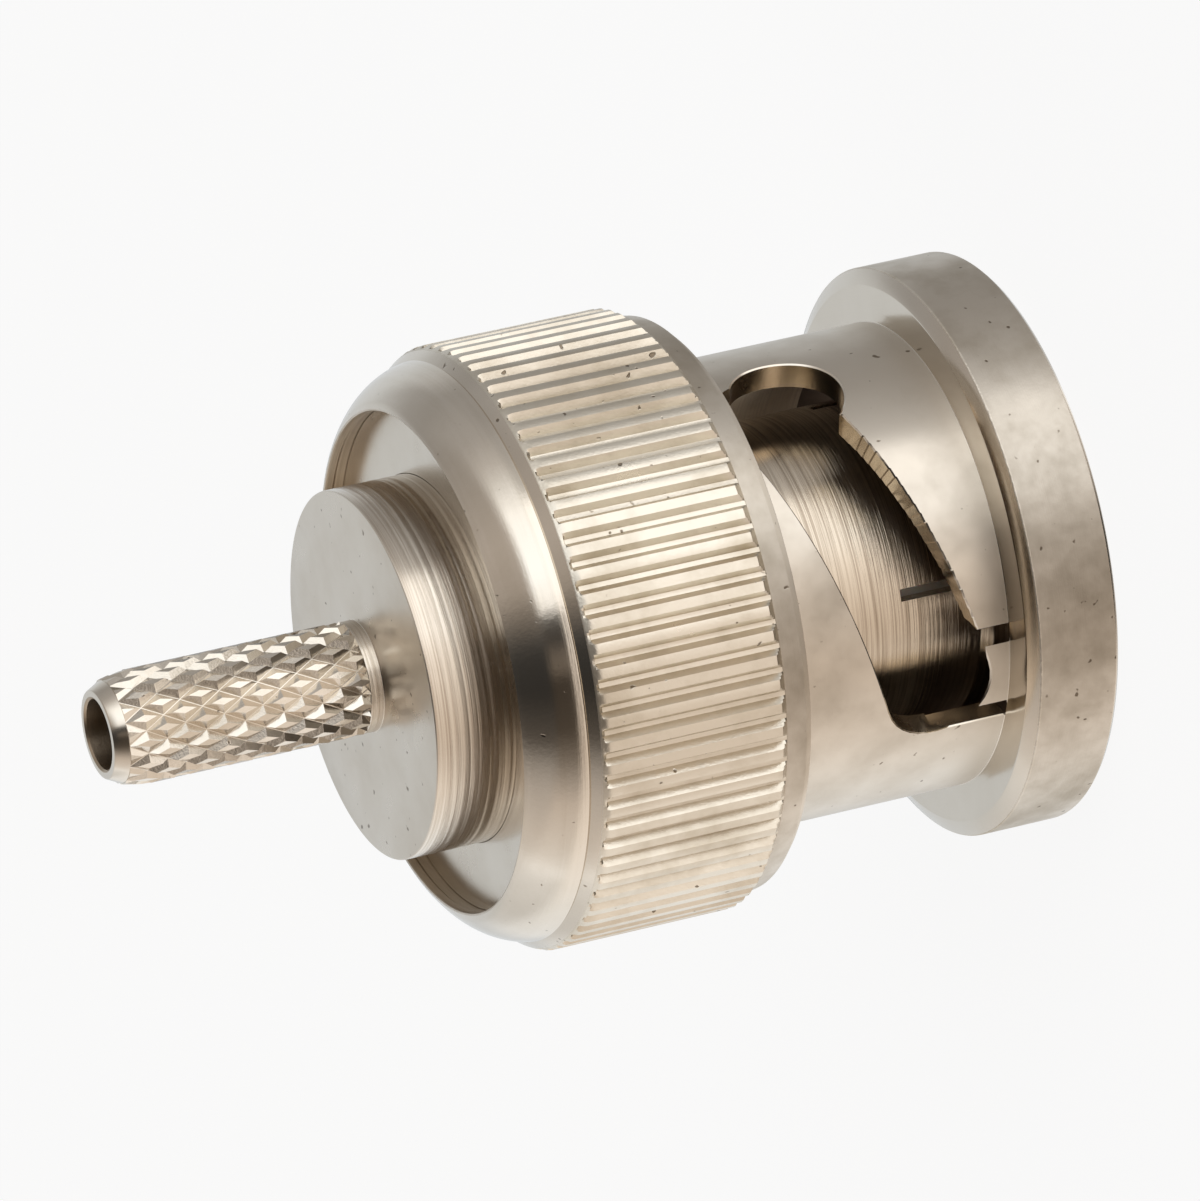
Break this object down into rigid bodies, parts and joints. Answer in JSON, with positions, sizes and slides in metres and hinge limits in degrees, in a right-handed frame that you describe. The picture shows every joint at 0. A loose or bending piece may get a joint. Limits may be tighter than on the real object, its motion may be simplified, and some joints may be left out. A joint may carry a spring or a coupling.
{
  "type": "bnc connector",
  "caption": "Straight nickel-plated bayonet coaxial plug with a knurled slotted coupling nut that turns on a sprung plug body, and a hollow knurled crimp stem for thin cable.",
  "frame": {"origin": "centre of the mating face of the coupling nut", "axes": "+Z along the axis from the mating face to the cable end; +X and +Y lie in the mating face, with the first keyway 34.85 degrees clockwise of +X seen from +Z and the second opposite +X turned the same way"},
  "size_m": [0.0144, 0.0144, 0.0229],
  "materials": {
    "nut_nickel": "bright nickel plate over turned and knurled brass",
    "body_nickel": "bright nickel plate over finely turned brass",
    "finger_nickel": "nickel plate over turned copper alloy",
    "washer_nickel": "flat bright nickel plate",
    "spring_bronze": "bare rolled spring bronze",
    "contact_gold": "thin gold plate",
    "ptfe": "matt white, slightly translucent",
    "silicone": "matt moulded silicone rubber"
  },
  "bodies": {
    "nut": {"coupling_nut": "nut_nickel", "retaining_washer": "washer_nickel", "wave_washer_front": "spring_bronze", "wave_washer_rear": "spring_bronze"},
    "thrust": {"thrust_washer": "washer_nickel"},
    "plug": {"crimp_body": "body_nickel", "outer_contact": "finger_nickel", "front_insulator": "ptfe", "rear_insulator": "ptfe", "centre_contact": "contact_gold", "gasket": "silicone"}
  },
  "joints": [
    {"name": "float", "type": "slide", "parent": "nut", "child": "thrust", "axis": [0, 0, 1], "range_m": [0, 0.0005], "stiffness_N_per_m": 400, "springref_m": -0.0005, "deforming": ["wave_washer_front", "wave_washer_rear"]},
    {"name": "swivel", "type": "hinge", "parent": "thrust", "child": "plug", "pos_m": [0, 0, 0.0123], "axis": [0, 0, 1], "continuous": true}
  ]
}
